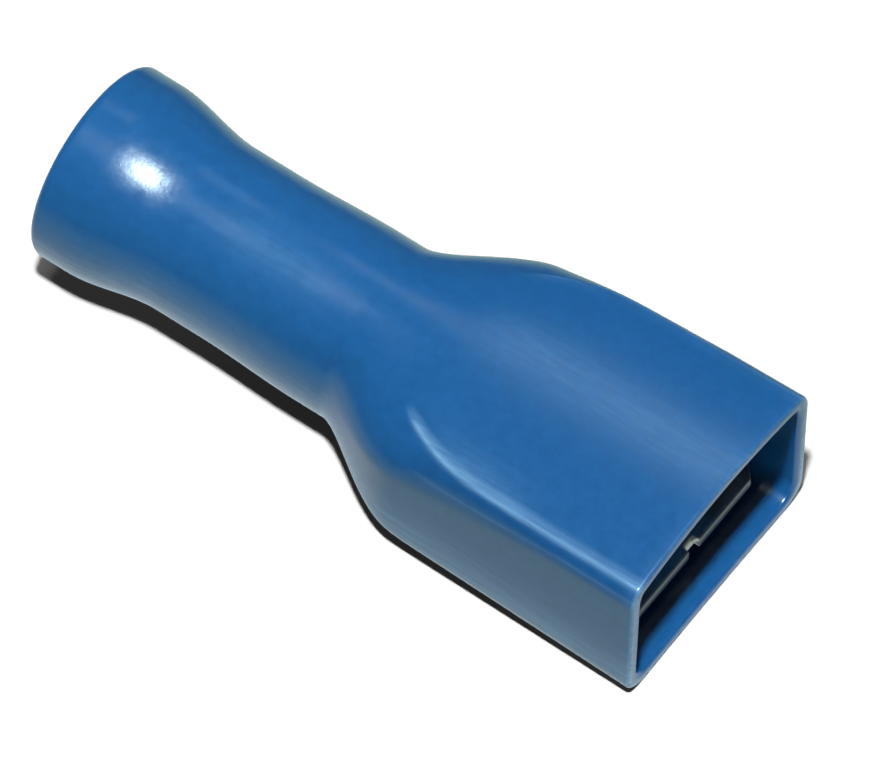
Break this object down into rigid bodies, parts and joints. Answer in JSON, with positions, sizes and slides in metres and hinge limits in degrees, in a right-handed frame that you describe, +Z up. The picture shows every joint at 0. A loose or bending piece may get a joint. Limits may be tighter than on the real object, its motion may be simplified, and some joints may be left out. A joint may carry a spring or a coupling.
{
  "type": "female spade terminal",
  "caption": "Fully insulated female spade terminal: a blue moulded housing with a bell-mouthed wire barrel and a flat box mouth, around a rolled metal receptacle.",
  "frame": {"origin": "centre of the mouth, on the axis that the wire barrel and the mouth share", "axes": "+X out of the mouth, the way a mated tab leaves; +Y across the mouth; +Z up, away from the terminal's flat base"},
  "size_m": [0.022, 0.0088, 0.0064],
  "materials": {
    "housing": "satin gloss blue moulding",
    "terminal": "tin plated, semi-bright"
  },
  "bodies": {
    "root": {"insulating_housing": "housing", "receptacle_terminal": "terminal"}
  },
  "joints": []
}
